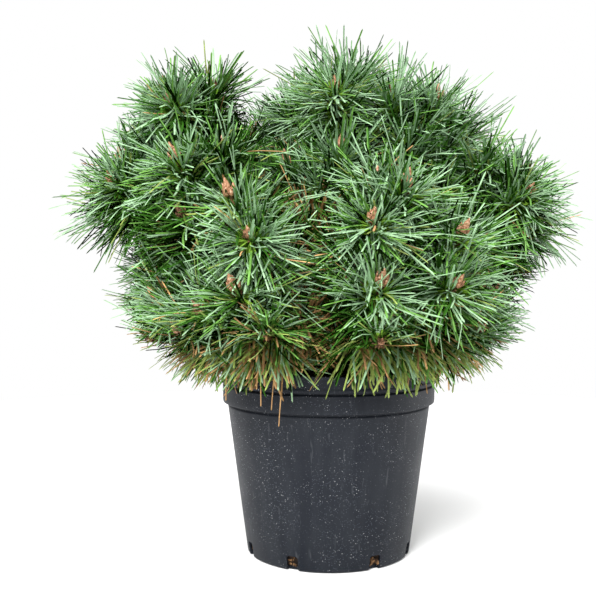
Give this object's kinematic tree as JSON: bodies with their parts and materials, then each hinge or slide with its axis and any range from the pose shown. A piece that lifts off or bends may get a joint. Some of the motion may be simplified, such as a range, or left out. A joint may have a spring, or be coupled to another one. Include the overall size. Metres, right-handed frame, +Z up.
{
  "type": "potted dwarf pine",
  "caption": "Rounded dwarf pine with blue-green needles in a round black nursery pot, standing on the pot's flat underside.",
  "frame": {"origin": "centre of the pot's flat underside", "axes": "+Z up along the pot's axis, -Y towards the viewer of the picture, +X to that viewer's right"},
  "size_m": [0.6648, 0.5692, 0.6469],
  "materials": {
    "pot": "satin black injection-moulded plastic with fine pale specks",
    "potting_mix": "rough brown bark compost",
    "bark": "rough scaly orange-brown bark",
    "needles": "blue-green conifer needles, satin"
  },
  "bodies": {
    "root": {"bough_back_far_left": "bark", "bough_back_high": "bark", "bough_back_high_left": "bark", "bough_back_high_right": "bark", "bough_back_low": "bark", "bough_back_low_far_left": "bark", "bough_back_low_left": "bark", "bough_back_low_right": "bark", "bough_back_mid": "bark", "bough_back_mid_left": "bark", "bough_back_mid_right": "bark", "bough_centre": "bark", "bough_centre_left": "bark", "bough_centre_low_left": "bark", "bough_centre_right": "bark", "bough_far_left": "bark", "bough_far_right": "bark", "bough_left": "bark", "bough_left_low": "bark", "bough_low_far_left": "bark", "bough_low_far_right": "bark", "bough_low_front": "bark", "bough_low_front_left": "bark", "bough_low_front_right": "bark", "bough_mid_right": "bark", "bough_top_left": "bark", "bough_top_right": "bark", "needles_back_far_left": "needles", "needles_back_high": "needles", "needles_back_high_left": "needles", "needles_back_high_right": "needles", "needles_back_low": "needles", "needles_back_low_far_left": "needles", "needles_back_low_left": "needles", "needles_back_low_right": "needles", "needles_back_mid": "needles", "needles_back_mid_left": "needles", "needles_back_mid_right": "needles", "needles_centre": "needles", "needles_centre_left": "needles", "needles_centre_low_left": "needles", "needles_centre_right": "needles", "needles_far_left": "needles", "needles_far_right": "needles", "needles_left": "needles", "needles_left_low": "needles", "needles_low_far_left": "needles", "needles_low_far_right": "needles", "needles_low_front": "needles", "needles_low_front_left": "needles", "needles_low_front_right": "needles", "needles_mid_right": "needles", "needles_top": "needles", "needles_top_left": "needles", "needles_top_right": "needles", "pot": "pot", "potting_mix": "potting_mix", "trunk": "bark"}
  },
  "joints": []
}
